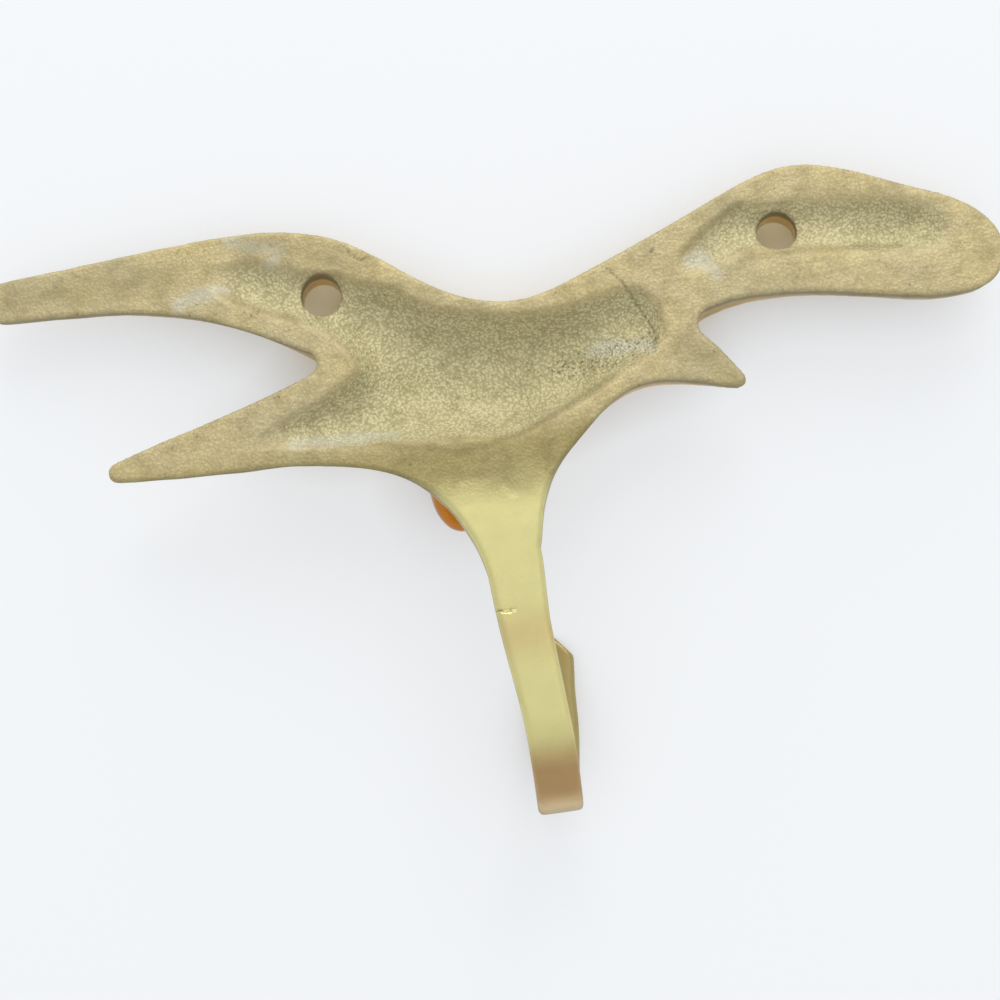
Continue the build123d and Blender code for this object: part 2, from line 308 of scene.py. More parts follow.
@dataclass(frozen=True)
class Effect:
    """A shader node group that reads a place and gives named values."""

    name: str
    outputs: tuple[str, ...]

    def start(self) -> tuple[bpy.types.NodeTree, NodeNet, bpy.types.NodeSocket]:
        """Makes the group with its sockets.

        Returns:
            The group, its net of nodes and the place that it reads.
        """
        tree = bpy.data.node_groups.new(self.name, "ShaderNodeTree")
        tree.interface.new_socket(name="Place", in_out="INPUT", socket_type="NodeSocketVector")
        for label in self.outputs:
            tree.interface.new_socket(name=label, in_out="OUTPUT", socket_type="NodeSocketFloat")
        net = NodeNet(tree)
        return tree, net, net.add("NodeGroupInput").outputs["Place"]

    def close(self, net: NodeNet, *values: bpy.types.NodeSocket) -> None:
        """Feeds the outputs of the group in their order."""
        out = net.add("NodeGroupOutput")
        for label, value in zip(self.outputs, values):
            net.feed(out.inputs[label], value)


@dataclass(frozen=True)
class SandGrain(Effect):
    """The skin that the sand of the mould leaves: its height, its low spots and pits."""

    name: str = "sand_grain"
    outputs: tuple[str, ...] = ("Height", "Low", "Pits")
    pebble: float = 0.5
    pebble_share: float = 0.4
    grit: float = 0.34
    grit_share: float = 0.6
    clump: float = 1.5
    clump_share: float = 0.35
    pit: float = 0.46
    low_span: Span = (0.61, 0.42)
    pit_span: Span = (0.54, 0.62)

    def group(self) -> bpy.types.NodeTree:
        """Builds the group."""
        tree, net, place = self.start()
        pebble = net.flip(net.pebbles(place, self.pebble))
        grit = net.noise(place, self.grit, 3.0)
        clump = net.noise(place, self.clump, 4.0)
        fine = net.math("ADD", net.times(pebble, self.pebble_share), net.times(grit, self.grit_share))
        height = net.math("ADD", fine, net.times(clump, self.clump_share))
        low = net.ramp(fine, *self.low_span)
        pits = net.ramp(net.noise(place, self.pit, 2.0), *self.pit_span)
        self.close(net, height, low, pits)
        return tree


@dataclass(frozen=True)
class Tarnish(Effect):
    """Uneven dulling of the brass: broad clouds, blotches, specks of dirt and streaks of a file."""

    name: str = "tarnish"
    outputs: tuple[str, ...] = ("Cloud", "Blotch", "Specks", "Streaks")
    cloud: float = 17.0
    blotch: float = 3.2
    speck: float = 0.62
    streak: float = 0.55
    streak_length: float = 7.0
    cloud_span: Span = (0.34, 0.68)
    blotch_span: Span = (0.4, 0.7)
    crowd_span: Span = (0.42, 0.66)
    speck_span: Span = (0.62, 0.7)
    streak_span: Span = (0.34, 0.68)

    def group(self) -> bpy.types.NodeTree:
        """Builds the group."""
        tree, net, place = self.start()
        cloud = net.ramp(net.noise(place, self.cloud, 3.0), *self.cloud_span)
        blotch = net.ramp(net.noise(place, self.blotch, 5.0), *self.blotch_span)
        crowd = net.ramp(net.noise(place, self.blotch * 2, 2.0), *self.crowd_span)
        speck = net.ramp(net.noise(place, self.speck, 2.0), *self.speck_span)
        along = net.add("Mapping")
        net.feed(along.inputs["Vector"], place)
        along.inputs["Scale"].default_value = (1 / self.streak_length, 1.0, 1.0)
        streaks = net.ramp(net.noise(along.outputs["Vector"], self.streak, 3.0), *self.streak_span)
        self.close(net, cloud, blotch, net.times(speck, crowd), streaks)
        return tree


@dataclass(frozen=True)
class Wander(Effect):
    """Irregular shifts that keep a drawn line from running true, in millimetres."""

    name: str = "wander"
    outputs: tuple[str, ...] = ("Slow", "Quick")
    slow: float = 3.4
    slow_shift: float = 3.2
    quick: float = 0.8
    quick_shift: float = 1.4

    def group(self) -> bpy.types.NodeTree:
        """Builds the group."""
        tree, net, place = self.start()
        shifts = []
        for size, shift in ((self.slow, self.slow_shift), (self.quick, self.quick_shift)):
            either_way = net.math("SUBTRACT", net.noise(place, size, 3.0), 0.5)
            shifts.append(net.times(either_way, shift))
        self.close(net, *shifts)
        return tree


@dataclass
class Zones:
    """The height on the casting in millimetres, and masks of its surfaces."""

    height: bpy.types.NodeSocket
    back: bpy.types.NodeSocket
    flat: bpy.types.NodeSocket
    strap: bpy.types.NodeSocket
    hollow: bpy.types.NodeSocket
    limb: bpy.types.NodeSocket
    arm: bpy.types.NodeSocket
    rim: bpy.types.NodeSocket


@dataclass
class BrassDress:
    """Turns the finishes into the material of the casting."""

    sand: SandSkin = SandSkin()
    worked: WorkedStrap = WorkedStrap()
    front: PolishedFront = PolishedFront()
    web: Span = (-22.0, -28.0)
    above_web: Span = (-30.0, -28.0)
    strap: Span = (-29.5, -37.0)
    above_strap: Span = (-40.0, -37.0)
    # heights of the strap's painted reflection bands
    warm_start: Span = (-50.0, -56.0)
    warm_end: Span = (-62.0, -56.0)
    bend: Span = (-70.5, -77.0)
    foot_reflection: Span = (-79.5, -82.0)
    hollow_depth: Span = (0.2, 1.6)
    front_depth: Span = (3.0, 5.0)
    limb_depth: Span = (5.2, 5.6)
    limb_side: Span = (13.0, 15.0)
    limb_end: Span = (-62.0, -50.0)
    # arm depth: where the painted shade on the arm's inner face in the throat starts and is full
    arm_depth: Span = (14.0, 18.0)
    edge_facing: Span = (-0.75, -0.4)
    front_facing: Span = (0.0, 0.25)
    hollow_facing: Span = (0.05, 0.35)
    flat_facing: Span = (0.1, 0.65)
    rim_facing: Span = (0.4, 0.0)
    bloom_edge: Span = (0.7, -0.9)
    bloom_ragged: Span = (0.8, 1.2)
    crease_edge: Span = (1.1, 0.1)
    crease_drift: float = 0.3
    pitted_edge: Span = (1.0, -0.4)
    crack_edge: Span = (0.28, 0.05)
    crack_gaps: Span = (-0.7, -0.1)
    crack_jitter: float = 0.6
    nick_edge: Span = (0.26, 0.06)
    nick_jitter: float = 0.5
    stain_edge: Span = (2.5, -2.5)
    crack_groove: Span = (0.45, 0.0)
    crack_depth: float = 0.35
    crease_groove: Span = (1.4, 0.0)
    crease_depth: float = 0.22
    land_grain: float = 0.5
    hollow_grain: float = 1.15
    least_grain: float = 0.04
    blotch_middle: float = 0.4
    patchy: float = 0.14
    bump_height: float = 0.3

    def material(self) -> bpy.types.Material:
        """Builds the material.

        Returns:
            The material of the casting.
        """
        material = bpy.data.materials.new("cast_brass")
        material.use_nodes = True
        material.node_tree.nodes.clear()
        net = NodeNet(material.node_tree)
        place = net.add("TexCoord").outputs["Object"]
        grain, dull, wander = (
            net.add("Group", node_tree=effect.group()) for effect in (SandGrain(), Tarnish(), Wander())
        )
        for node in (grain, dull, wander):
            net.feed(node.inputs["Place"], place)
        zones = self.zones(net, place, wander)
        colour = self.back_colour(net, zones, grain, dull)
        colour = self.marks(net, colour, grain, wander)
        colour = net.mix(zones.strap, colour, self.strap_colour(net, zones, dull, wander))
        colour = self.stained(net, colour, wander)
        colour = net.mix(zones.back, self.front_colour(net, zones, dull), colour)

        shader = net.add("BsdfPrincipled")
        net.feed(shader.inputs["Base Color"], colour)
        net.feed(shader.inputs["Metallic"], self.bare_metal(net, zones))
        net.feed(shader.inputs["Roughness"], self.roughness(net, zones, dull))
        net.feed(shader.inputs["Normal"], self.relief(net, zones, grain, wander))
        net.feed(net.add("OutputMaterial").inputs["Surface"], shader.outputs[0])
        return material

    def zones(self, net: NodeNet, place: bpy.types.NodeSocket, wander: bpy.types.Node) -> Zones:
        """Makes the masks.

        Args:
            net: The material's net.
            place: The place on the casting.
            wander: The group that keeps borders uneven.

        Returns:
            The masks.
        """
        across = net.add("SeparateXYZ")
        net.feed(across.inputs[0], place)
        toward = net.add("SeparateXYZ")
        net.feed(toward.inputs[0], net.add("NewGeometry").outputs["Normal"])
        side = net.times(across.outputs["X"], 1 / MM)
        depth = net.times(across.outputs["Y"], -1 / MM)
        height = net.times(across.outputs["Z"], 1 / MM)
        facing = toward.outputs["Y"]
        limb = net.times(
            net.ramp(depth, *self.limb_depth),
            net.ramp(height, *self.web),
            net.ramp(height, *self.limb_end),
            net.ramp(side, *self.limb_side),
        )
        in_front = net.times(net.ramp(depth, *self.front_depth), net.ramp(height, *self.above_strap))
        at_edge = net.ramp(facing, *self.edge_facing)
        cast = net.blend(in_front, at_edge, net.ramp(facing, *self.front_facing))
        back = net.times(cast, net.flip(limb))
        hollow = net.times(
            back,
            net.ramp(facing, *self.hollow_facing),
            net.ramp(depth, *self.hollow_depth),
            net.ramp(height, *self.above_web),
        )
        return Zones(
            height=height,
            back=back,
            flat=net.ramp(facing, *self.flat_facing),
            strap=net.ramp(net.math("ADD", height, wander.outputs["Slow"]), *self.strap),
            hollow=hollow,
            limb=limb,
            arm=net.ramp(depth, *self.arm_depth),
            rim=net.ramp(facing, *self.rim_facing),
        )

    def back_colour(
        self, net: NodeNet, zones: Zones, grain: bpy.types.Node, dull: bpy.types.Node
    ) -> bpy.types.NodeSocket:
        """Colours the cast back, darker in the low spots of the grain, with painted shade on its edges
        and hollow walls.

        Args:
            net: The material's net.
            zones: The masks.
            grain: The grain group.
            dull: The tarnish group.

        Returns:
            The colour.
        """
        sand = self.sand
        colour = net.mix(zones.hollow, sand.land.linear(), sand.floor.linear())
        bare = net.flip(zones.hollow)
        web = net.times(net.ramp(zones.height, *self.web), bare)
        # darker in the low spots of the grain, more in the hollows
        low = net.times(grain.outputs["Low"], net.blend(zones.hollow, sand.land_low_darkening, sand.hollow_low_darkening))
        # painted shade: surfaces turned away from the back, on the edges and hollow walls, take the dark
        # side colour
        edge = net.times(net.flip(zones.flat), net.blend(zones.hollow, sand.edge_shade_share, sand.wall_shade_share))
        for share, over in (
            (net.times(dull.outputs["Cloud"], bare, sand.gold_share), sand.gold),
            (net.times(dull.outputs["Streaks"], bare, sand.streak_share), sand.grime_and_shade),
            (net.times(web, sand.web_share), sand.web),
            (net.times(dull.outputs["Blotch"], sand.blotch_share), sand.grime_and_shade),
            (low, sand.grime_and_shade),
            (net.times(dull.outputs["Specks"], sand.speck_share), sand.pit),
            (edge, sand.side),
        ):
            colour = net.mix(share, colour, over.linear())
        return colour

    def strap_colour(
        self, net: NodeNet, zones: Zones, dull: bpy.types.Node, wander: bpy.types.Node
    ) -> bpy.types.NodeSocket:
        """Colours the strap in bands of painted reflection, from its root to its foot, with painted shade
        on its edges and in the throat of the arm.

        Args:
            net: The material's net.
            zones: The masks.
            dull: The tarnish group.
            wander: The group that keeps borders uneven.

        Returns:
            The colour.
        """
        worked = self.worked
        warm_reflection = net.times(net.ramp(zones.height, *self.warm_start), net.ramp(zones.height, *self.warm_end))
        # painted shade on the strap's edges and on the arm's inner face in the throat of the hook
        edge = net.math("MAXIMUM", zones.rim, zones.arm)
        jitter = net.times(wander.outputs["Quick"], self.nick_jitter)
        nick = net.math("ADD", self.mark(net, Mark.CRACK), jitter)
        colour = worked.plain.linear()
        for share, over in (
            # painted reflections: a warm band, a brown band at the bend and a light strip at the foot
            (net.times(warm_reflection, worked.warm_share), worked.warm_reflection),
            (net.ramp(zones.height, *self.bend), worked.bend),
            (net.ramp(zones.height, *self.foot_reflection), worked.foot_reflection),
            (net.times(dull.outputs["Blotch"], worked.blotch_share), worked.side),
            (net.times(dull.outputs["Specks"], worked.speck_share), worked.side),
            (net.times(edge, worked.edge_shade_share), worked.side),
            (net.times(net.ramp(nick, *self.nick_edge), worked.nick_share), self.sand.pit),
        ):
            colour = net.mix(share, colour, over.linear())
        return colour

    def front_colour(self, net: NodeNet, zones: Zones, dull: bpy.types.Node) -> bpy.types.NodeSocket:
        """Colours the polished front, with a painted amber reflection on the limb's end.

        Args:
            net: The material's net.
            zones: The masks.
            dull: The tarnish group.

        Returns:
            The colour.
        """
        front = self.front
        # painted amber reflection on the limb's end
        colour = net.mix(zones.limb, front.plain.linear(), front.limb.linear())
        return net.mix(net.times(dull.outputs["Blotch"], front.dull_share), colour, front.dull.linear())

    def mark(self, net: NodeNet, which: Mark) -> bpy.types.NodeSocket:
        """Reads the distance to a mark off the mesh, in millimetres."""
        return net.add("Attribute", attribute_name=which.value).outputs["Fac"]

    def marks(
        self,
        net: NodeNet,
        colour: bpy.types.NodeSocket,
        grain: bpy.types.Node,
        wander: bpy.types.Node,
    ) -> bpy.types.NodeSocket:
        """Lays the marks over the colour of the back, with painted shade along the creases.

        Args:
            net: The material's net.
            colour: The colour of the back.
            grain: The grain group.
            wander: The group that keeps lines uneven.

        Returns:
            The colour with its marks.
        """
        sand = self.sand
        slow, quick = wander.outputs["Slow"], wander.outputs["Quick"]
        wide, narrow = self.bloom_ragged
        ragged = net.math("ADD", net.times(slow, wide), net.times(quick, narrow))
        bloom = net.math("ADD", self.mark(net, Mark.BLOOM), ragged)
        crease = net.math("ADD", self.mark(net, Mark.CREASE), net.times(slow, self.crease_drift))
        pitted = net.ramp(net.math("ADD", self.mark(net, Mark.PITTED), slow), *self.pitted_edge)
        crack = self.broken(net, wander, self.crack_edge)
        for share, over in (
            (net.times(net.ramp(bloom, *self.bloom_edge), sand.bloom_share), sand.bloom),
            # painted shade along the creases, in the grime colour; the groove itself is in the bump
            (net.times(net.ramp(crease, *self.crease_edge), sand.crease_shade_share), sand.grime_and_shade),
            (net.times(pitted, grain.outputs["Pits"], sand.pit_share), sand.pit),
            (net.times(crack, sand.crack_share), sand.pit),
        ):
            colour = net.mix(share, colour, over.linear())
        return colour

    def broken(self, net: NodeNet, wander: bpy.types.Node, edge: Span) -> bpy.types.NodeSocket:
        """Draws the cracks as a line that wavers and stops here and there.

        Args:
            net: The material's net.
            wander: The group that keeps lines uneven.
            edge: The distances from the middle of the line at which it starts and is full.

        Returns:
            The mask of the line.
        """
        jitter = net.times(wander.outputs["Quick"], self.crack_jitter)
        shifted = net.math("ADD", self.mark(net, Mark.CRACK), jitter)
        return net.times(net.ramp(shifted, *edge), net.ramp(wander.outputs["Slow"], *self.crack_gaps))

    def stained(
        self, net: NodeNet, colour: bpy.types.NodeSocket, wander: bpy.types.Node
    ) -> bpy.types.NodeSocket:
        """Darkens the broad stains.

        Args:
            net: The material's net.
            colour: The colour so far.
            wander: The group that keeps borders uneven.

        Returns:
            The colour with its stains.
        """
        distance = net.math("ADD", self.mark(net, Mark.STAIN), wander.outputs["Slow"])
        share = net.times(net.ramp(distance, *self.stain_edge), self.sand.stain_share)
        return net.mix(share, colour, self.sand.stain.linear())

    def bare_metal(self, net: NodeNet, zones: Zones) -> bpy.types.NodeSocket:
        """Sets how much bare metal shows through the dull skin."""
        behind = net.blend(zones.strap, self.sand.metallic, self.worked.metallic)
        return net.blend(zones.back, self.front.metallic, behind)

    def roughness(self, net: NodeNet, zones: Zones, dull: bpy.types.Node) -> bpy.types.NodeSocket:
        """Sets how dull each part of the surface is.

        Args:
            net: The material's net.
            zones: The masks.
            dull: The tarnish group.

        Returns:
            The roughness.
        """
        behind = net.blend(zones.strap, self.sand.roughness, self.worked.roughness)
        rough = net.blend(zones.back, self.front.roughness, behind)
        uneven = net.math("SUBTRACT", dull.outputs["Blotch"], self.blotch_middle)
        return net.math("ADD", rough, net.times(uneven, self.patchy))

    def relief(
        self, net: NodeNet, zones: Zones, grain: bpy.types.Node, wander: bpy.types.Node
    ) -> bpy.types.NodeSocket:
        """Raises the grain, most in the hollows and hardly on the strap and in front.

        Args:
            net: The material's net.
            zones: The masks.
            grain: The grain group.
            wander: The group that keeps lines uneven.

        Returns:
            The normal.
        """
        cast = net.times(zones.back, net.flip(zones.strap))
        grainy = net.times(cast, net.blend(zones.hollow, self.land_grain, self.hollow_grain))
        height = net.times(grain.outputs["Height"], net.math("ADD", grainy, self.least_grain))
        crack = self.broken(net, wander, self.crack_groove)
        crease = net.ramp(self.mark(net, Mark.CREASE), *self.crease_groove)
        for groove, depth in ((crack, self.crack_depth), (crease, self.crease_depth)):
            height = net.math("SUBTRACT", height, net.times(groove, depth))
        node = net.add("Bump")
        node.inputs["Strength"].default_value = 1.0
        node.inputs["Distance"].default_value = self.bump_height * MM
        net.feed(node.inputs["Height"], height)
        return node.outputs["Normal"]


@dataclass(frozen=True)
class Nudge:
    """A small smooth shift of one stretch of the casting, in millimetres."""

    middle: tuple[float, float, float]
    reach: tuple[float, float, float]
    shift: tuple[float, float, float]

    def at(self, place: Vector) -> Vector:
        """How far a place is shifted: most in the middle, not at all past the reach."""
        share = 1.0
        for value, middle, reach in zip(place, self.middle, self.reach):
            share *= max(0.0, 1.0 - ((value - middle) / reach) ** 2) ** 2
        return Vector(self.shift) * share


@dataclass
class HookCasting:
    """The whole hook: the cast body with its hollows, and the strap, in one piece."""

    node: str = "hook_casting"
    voxel: float = 0.0004
    soften_factor: float = 0.5
    soften_all: int = 2
    soften_behind: int = 10
    soften_dish: int = 45
    dish_start: float = -38.5
    dish_reach: float = 4.5
    waist: float = 0.4
    waist_reach: float = 10.0
    waist_facing: float = 0.3
    waist_fade: float = 7.0
    swell_depth: float = 0.16
    swell_size: float = 6.5
    grain_depth: float = 0.12
    grain_size: float = 1.3
    grain_octaves: int = 3
    grain_falloff: float = 0.9
    grain_step: float = 2.1
    grain_on_land: float = 0.35
    swell_lost_on_strap: float = 0.8
    strap_top: float = -34.0
    strap_fade: float = 6.0
    behind_facing: float = 0.5
    full_hollow: float = 2.0
    hollow_start: float = 0.9
    hollow_end: float = 7.0
    hollow_foot: float = -29.0
    hollow_facing: float = 0.3
    rim_facing: float = 0.25
    rim_reach: float = 2.2
    mark_facing: float = 0.1
    mark_far: float = 50.0
    nudges: tuple[Nudge, ...] = (
        Nudge(middle=(14.7, -3.0, -55.5), reach=(4.6, 14.0, 16.0), shift=(0.42, 0.0, 0.0)),
        Nudge(middle=(7.5, -3.0, -46.5), reach=(4.6, 14.0, 8.5), shift=(-0.36, 0.0, 0.0)),
        Nudge(middle=(5.4, -24.0, -71.0), reach=(5.0, 12.0, 9.0), shift=(-0.6, 0.0, 0.0)),
        Nudge(middle=(19.5, -12.0, -37.0), reach=(8.0, 7.0, 6.5), shift=(0.0, 0.0, -1.4)),
    )
    arm_cut: Line = ((7.1, -54.6), (4.8, -57.4))
    arm_depth: float = 18.0
    arm_low: float = -62.0
    hole_spacing: float = 70.5
    hole_keep: float = 4.4
    cracks: tuple[Line, ...] = (
        ((-8.6, -2.6), (-10.7, -5.2), (-12.2, -7.9), (-13.6, -10.6), (-14.6, -13.9), (-13.7, -15.5)),
        ((30.6, 6.5), (29.7, 5.0), (28.5, 4.0), (27.3, 4.4)),
        ((15.2, -52.1), (13.7, -52.4), (12.4, -52.3)),
        ((-15.9, -0.5), (-15.5, -1.0)),
    )
    creases: tuple[Line, ...] = (
        ((29.3, -24.8), (22.1, -26.0), (18.0, -27.7), (10.8, -26.5), (3.5, -24.2), (-6.9, -19.0)),
        ((17.4, -31.6), (11.7, -31.7), (10.3, -34.5)),
        ((50.4, 2.1), (47.9, 0.5), (43.8, -1.9), (39.4, -3.7)),
        ((-28.9, -4.1), (-33.3, -3.4), (-38.2, -3.8), (-45.1, -4.2), (-53.2, -4.7)),
        ((-20.5, -1.4), (-25.7, 2.6), (-29.9, 4.5)),
    )
    blooms: tuple[Line, ...] = (
        ((41.7, -22.5), (36.7, -22.8), (27.0, -22.9)),
        ((-21.0, -2.9), (-23.2, -2.5), (-24.9, -5.3)),
        ((56.8, 1.2), (54.4, 2.1), (50.0, 2.4)),
        ((42.1, 5.9), (40.7, 7.4), (47.9, 9.6)),
        ((-5.0, -13.8), (-10.6, -14.2), (-13.2, -15.0)),
    )
    bloom_reach: float = 1.1
    pitted: tuple[Line, ...] = (((0.4, -15.8), (-4.6, -15.8), (-9.0, -15.0), (-13.0, -14.6)),)
    pitted_reach: float = 1.7
    stains: tuple[Line, ...] = (
        ((-18.5, -16.0), (-22.6, -19.3), (-27.0, -23.5)),
        ((46.0, 9.2), (41.1, 8.4), (34.5, 5.9), (29.5, 3.0)),
        ((82.0, 5.4), (65.0, 5.5), (57.0, 6.0)),
        ((13.0, -32.6), (8.0, -33.4)),
    )
    stain_reach: float = 1.5

    def build(self) -> bpy.types.Object:
        """Makes the piece from the solid.

        Returns:
            The finished piece.
        """
        piece = self.skin()
        self.fit(piece)
        self.soften(piece)
        self.roughen(piece)
        for which, lines, reach in (
            (Mark.CRACK, self.cracks, 0.0),
            (Mark.CREASE, self.creases, 0.0),
            (Mark.BLOOM, self.blooms, self.bloom_reach),
            (Mark.PITTED, self.pitted, self.pitted_reach),
            (Mark.STAIN, self.stains, self.stain_reach),
        ):
            self.note(piece, which, lines, reach)
        return piece

    def skin(self) -> bpy.types.Object:
        """Copies the solid, closes its triangles and gives it an even mesh.

        Returns:
            The new object.
        """
        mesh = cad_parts[self.node].data.copy()
        mesh.materials.clear()
        shape = bmesh.new()
        shape.from_mesh(mesh)
        bmesh.ops.remove_doubles(shape, verts=shape.verts, dist=1e-6)
        shape.to_mesh(mesh)
        shape.free()
        blank = bpy.data.objects.new("casting_blank", mesh)
        bpy.context.scene.collection.objects.link(blank)
        remesh = blank.modifiers.new("even", "REMESH")
        remesh.mode = "VOXEL"
        remesh.voxel_size = self.voxel
        seen = blank.evaluated_get(bpy.context.evaluated_depsgraph_get())
        even = bpy.data.meshes.new_from_object(seen)
        bpy.data.objects.remove(blank)
        even.name = "cast_hook"
        piece = bpy.data.objects.new("cast_hook", even)
        bpy.context.scene.collection.objects.link(piece)
        return piece

    def fit(self, piece: bpy.types.Object) -> None:
        """Fits the strap's edges, the limb's end and the cut end of the arm, and draws in the sides.

        Args:
            piece: The piece to fit.
        """
        start, end = (Vector((x, 0.0, z)) for x, z in self.arm_cut)
        outward = (start - end).cross(Vector((0.0, 1.0, 0.0))).normalized()
        shape = bmesh.new()
        shape.from_mesh(piece.data)
        shape.normal_update()
        for vert in shape.verts:
            first = vert.co / MM
            place = first.copy()
            for nudge in self.nudges:
                place += nudge.at(first)
            place -= Vector((vert.normal.x, 0.0, vert.normal.z)) * self.drawn_in(vert)
            past = (place - start).dot(outward)
            if past > 0.0 and -place.y > self.arm_depth and place.z > self.arm_low:
                place -= outward * past
            vert.co = place * MM
        shape.to_mesh(piece.data)
        shape.free()

    def drawn_in(self, vert: bmesh.types.BMVert) -> float:
        """How far a side is drawn in: most at a third of the reach from the back, not at all past it."""
        place = vert.co / MM
        if self.near_hole(place):
            return 0.0
        side = clamp(1.0 - vert.normal.y / self.waist_facing)
        body = clamp((place.z - self.strap_top) / self.waist_fade)
        fading = max(0.0, 1.0 + place.y / self.waist_reach) ** 2
        return -place.y * self.waist * fading * side * body

    def in_hollow(self, vert: bmesh.types.BMVert) -> bool:
        """Tells whether a point lies on the wall or the floor of a hollow."""
        sunk = self.hollow_start < -vert.co.y / MM < self.hollow_end
        return sunk and vert.normal.y > self.hollow_facing and vert.co.z / MM > self.hollow_foot

    def near_hole(self, place: Vector) -> bool:
        """Tells whether a point in millimetres lies at a screw hole."""
        return math.hypot(abs(place.x) - self.hole_spacing / 2, place.z) < self.hole_keep

    def soften(self, piece: bpy.types.Object) -> None:
        """Eases the edges, more behind the body than elsewhere.

        Args:
            piece: The piece to ease.
        """
        shape = bmesh.new()
        shape.from_mesh(piece.data)
        shape.normal_update()
        self.smooth(shape, shape.verts, self.soften_all)
        sunk = [vert.co for vert in shape.verts if self.in_hollow(vert)]
        near = kdtree.KDTree(len(sunk))
        for index, place in enumerate(sunk):
            near.insert(place, index)
        near.balance()
        facing = [
            vert
            for vert in shape.verts
            if vert.normal.y > self.rim_facing and not self.near_hole(vert.co / MM)
        ]
        distances = [near.find(vert.co)[2] / MM for vert in facing]
        rims = [vert for vert, away in zip(facing, distances) if away < self.rim_reach]
        dish = [
            vert
            for vert, away in zip(facing, distances)
            if away < self.dish_reach and vert.co.x / MM < self.dish_start
        ]
        self.smooth(shape, rims, self.soften_behind)
        self.smooth(shape, dish, self.soften_dish)
        shape.to_mesh(piece.data)
        shape.free()

    def smooth(self, shape: bmesh.types.BMesh, verts: object, passes: int) -> None:
        """Smooths points of a mesh.

        Args:
            shape: The mesh.
            verts: The points.
            passes: How many times.
        """
        axes = {"use_axis_x": True, "use_axis_y": True, "use_axis_z": True}
        for _ in range(passes):
            bmesh.ops.smooth_vert(shape, verts=verts, factor=self.soften_factor, **axes)

    def roughen(self, piece: bpy.types.Object) -> None:
        """Presses the uneven skin of a sand mould into the mesh, never past the solid's box.

        Args:
            piece: The piece to roughen.
        """
        low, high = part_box(self.node)
        shape = bmesh.new()
        shape.from_mesh(piece.data)
        shape.normal_update()
        moves = []
        for vert in shape.verts:
            place = vert.co / MM
            back = clamp(vert.normal.y / self.behind_facing)
            strap = clamp((self.strap_top - place.z) / self.strap_fade)
            hollow = clamp(-place.y / self.full_hollow) * back
            swell = 0.5 + 0.5 * noise.noise(place / self.swell_size)
            roughness = (self.grain_falloff, self.grain_step, self.grain_octaves)
            grain = 0.5 + 0.5 * noise.fractal(place / self.grain_size, *roughness)
            grainy = self.grain_on_land + (1.0 - self.grain_on_land) * hollow
            amount = self.swell_depth * swell * (1.0 - self.swell_lost_on_strap * strap)
            amount += self.grain_depth * grain * back * grainy * (1.0 - strap)
            moves.append(vert.co - vert.normal * amount * MM)
        for vert, place in zip(shape.verts, moves):
            vert.co = [min(max(value, least), most) for value, least, most in zip(place, low, high)]
        shape.normal_update()
        for face in shape.faces:
            face.smooth = True
        shape.to_mesh(piece.data)
        shape.free()

    def note(self, piece: bpy.types.Object, which: Mark, lines: tuple[Line, ...], reach: float) -> None:
        """Writes how far each point of the back lies from a mark.

        Args:
            piece: The piece that carries the mark.
            which: The mark.
            lines: Its lines, as places in millimetres in the front view.
            reach: Half the width of the mark in millimetres.
        """
        values = []
        for vert in piece.data.vertices:
            nearest = self.mark_far
            if vert.normal.y > self.mark_facing:
                spot = Vector((vert.co.x / MM, vert.co.z / MM))
                nearest = min(self.away(spot, line) for line in lines)
            values.append(nearest - reach)
        layer = piece.data.attributes.new(which.value, "FLOAT", "POINT")
        layer.data.foreach_set("value", values)

    def away(self, spot: Vector, line: Line) -> float:
        """The distance from a spot to a line of straight runs."""
        nearest = math.inf
        for start, end in zip(line, line[1:]):
            begin = Vector(start)
            run = Vector(end) - begin
            share = max(0.0, min(1.0, (spot - begin).dot(run) / run.dot(run)))
            nearest = min(nearest, (spot - begin - run * share).length)
        return nearest

    def dress(self, piece: bpy.types.Object, dresser: BrassDress) -> None:
        """Gives the piece its material and its place on the part.

        Args:
            piece: The finished piece.
            dresser: What makes the material.
        """
        piece.data.materials.append(dresser.material())
        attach(piece, "root")
        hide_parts(self.node)


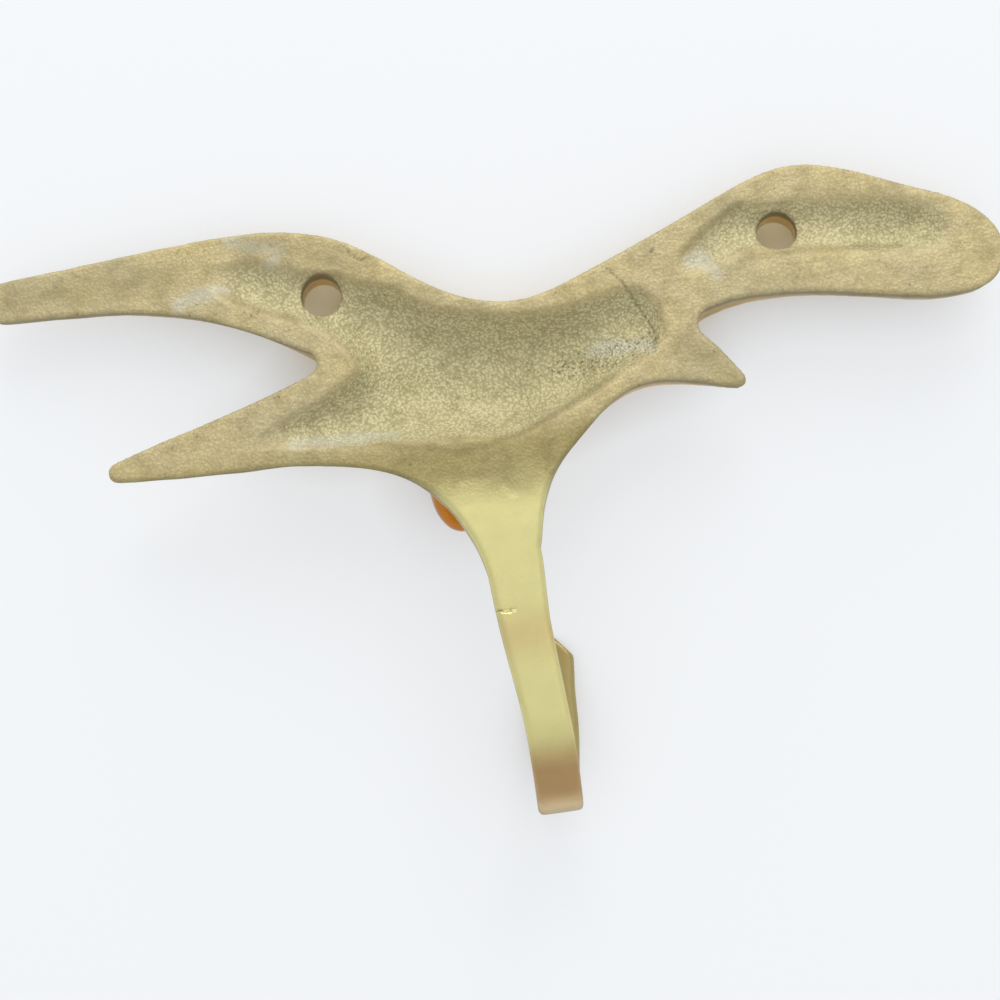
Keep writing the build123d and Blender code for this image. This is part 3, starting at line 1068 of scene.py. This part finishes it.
@dataclass
class PaleTable:
    """The pale sheet that the hook lies on, face down, seen only from above."""

    touch: tuple[float, float] = (-27.0, -69.0)
    tilt: float = 13.5
    reach: float = 3.0
    colour: Colour = Colour(245, 247, 249)
    # bounce: painted brassy bounce light on the sheet close under the hook
    bounce_light: Colour = Colour(243, 232, 185)
    glow: float = 0.66
    contact: float = 11.0
    contact_samples: int = 8
    bounce_light_span: Span = (0.15, 0.5)

    def build(self) -> bpy.types.Object:
        """Makes the sheet.

        Returns:
            The sheet.
        """
        shape = bmesh.new()
        bmesh.ops.create_grid(shape, x_segments=1, y_segments=1, size=self.reach)
        lean = math.radians(self.tilt)
        turn = Matrix.Rotation(-math.pi / 2 - lean, 4, "X")
        shift = Matrix.Translation((0.0, self.touch[0] * MM, self.touch[1] * MM))
        bmesh.ops.transform(shape, matrix=shift @ turn, verts=shape.verts)
        mesh = bpy.data.meshes.new("table")
        shape.to_mesh(mesh)
        shape.free()
        table = bpy.data.objects.new("table", mesh)
        bpy.context.scene.collection.objects.link(table)
        mesh.materials.append(self.material())
        return table

    def material(self) -> bpy.types.Material:
        """Makes the sheet pale from above, with a painted brassy bounce light and a painted contact
        shadow close under the hook, and clear from below.

        Returns:
            The material.
        """
        material = bpy.data.materials.new("table_sheet")
        material.use_nodes = True
        material.node_tree.nodes.clear()
        net = NodeNet(material.node_tree)
        open_air = net.add("AmbientOcclusion", samples=self.contact_samples)
        open_air.inputs["Distance"].default_value = self.contact * MM
        paper = net.add("BsdfDiffuse")
        # painted bounce light: where the hook crowds the sheet, its colour turns brassy
        in_open = net.ramp(open_air.outputs["AO"], *self.bounce_light_span)
        lit = net.mix(in_open, self.bounce_light.linear(), self.colour.linear())
        net.feed(paper.inputs["Color"], lit)
        light = net.add("Emission")
        net.feed(light.inputs["Color"], lit)
        rays = net.add("LightPath")
        seen = rays.outputs["Is Camera Ray"]
        for kind in ("Is Glossy Ray", "Is Transmission Ray"):
            seen = net.math("MAXIMUM", seen, rays.outputs[kind])
        above = net.add("MixShader")
        # painted contact shadow: the glow seen by the camera is dimmed by ambient occlusion under the
        # hook
        net.feed(above.inputs[0], net.times(open_air.outputs["AO"], seen, self.glow))
        net.feed(above.inputs[1], paper.outputs[0])
        net.feed(above.inputs[2], light.outputs[0])
        either = net.add("MixShader")
        net.feed(either.inputs[0], net.add("NewGeometry").outputs["Backfacing"])
        net.feed(either.inputs[1], above.outputs[0])
        net.feed(either.inputs[2], net.add("BsdfTransparent").outputs[0])
        net.feed(net.add("OutputMaterial").inputs["Surface"], either.outputs[0])
        return material


@dataclass
class Studio:
    """Camera, lamp and surroundings."""

    eye: tuple[float, float, float] = (12.4, 374.9, -97.7)
    aim: tuple[float, float, float] = (12.42, 0.0, -35.62)
    roll: float = 7.95
    lens: float = 91.2
    sensor: float = 36.0
    near: float = 10.0
    world_colour: Colour = Colour(242, 244, 247)
    world_strength: float = 0.84
    lamp_place: tuple[float, float, float] = (-150.0, 680.0, 760.0)
    lamp_power: float = 7.0
    lamp_size: float = 0.8

    def camera(self) -> bpy.types.Object:
        """Sets the camera where the photograph was taken.

        Returns:
            The camera.
        """
        data = bpy.data.cameras.new("camera")
        data.lens = self.lens
        data.sensor_width = self.sensor
        data.clip_start = self.near * MM
        camera = bpy.data.objects.new("camera", data)
        bpy.context.scene.collection.objects.link(camera)
        eye = Vector(self.eye) * MM
        look = (Vector(self.aim) * MM - eye).normalized()
        level = look.cross(Vector((0.0, 0.0, 1.0))).normalized()
        upright = level.cross(look)
        turn = math.radians(self.roll)
        right = level * math.cos(turn) - upright * math.sin(turn)
        up = right.cross(look)
        camera.matrix_world = Matrix.Translation(eye) @ Matrix((right, up, -look)).transposed().to_4x4()
        bpy.context.scene.camera = camera
        return camera

    def lamp(self) -> bpy.types.Object:
        """Hangs a large soft lamp over the back of the hook.

        Returns:
            The lamp.
        """
        data = bpy.data.lights.new("window", "AREA")
        data.energy = self.lamp_power
        data.size = self.lamp_size
        lamp = bpy.data.objects.new("window", data)
        bpy.context.scene.collection.objects.link(lamp)
        lamp.location = Vector(self.lamp_place) * MM
        lamp.rotation_euler = (Vector(self.aim) * MM - lamp.location).to_track_quat("-Z", "Y").to_euler()
        return lamp

    def build(self) -> None:
        """Sets up the camera, the lamp and the surroundings."""
        scene = bpy.context.scene
        scene.view_settings.view_transform = "Standard"
        self.camera()
        self.lamp()
        world = bpy.data.worlds.new("surroundings")
        world.use_nodes = True
        world.node_tree.nodes.clear()
        net = NodeNet(world.node_tree)
        sky = net.add("Background")
        sky.inputs["Color"].default_value = self.world_colour.linear()
        sky.inputs["Strength"].default_value = self.world_strength
        net.feed(net.add("OutputWorld").inputs["Surface"], sky.outputs[0])
        scene.world = world


def main() -> None:
    """Builds the hook, lays it on the table and lights it."""
    logging.basicConfig(level=logging.INFO, format="%(message)s")
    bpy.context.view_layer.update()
    casting = HookCasting()
    piece = casting.build()
    casting.dress(piece, BrassDress())
    LOG.info("%s: %d faces", piece.name, len(piece.data.polygons))
    table = PaleTable().build()
    LOG.info("%s: laid under the hook", table.name)
    Studio().build()
    bpy.context.view_layer.update()


if __name__ == "__main__":
    main()
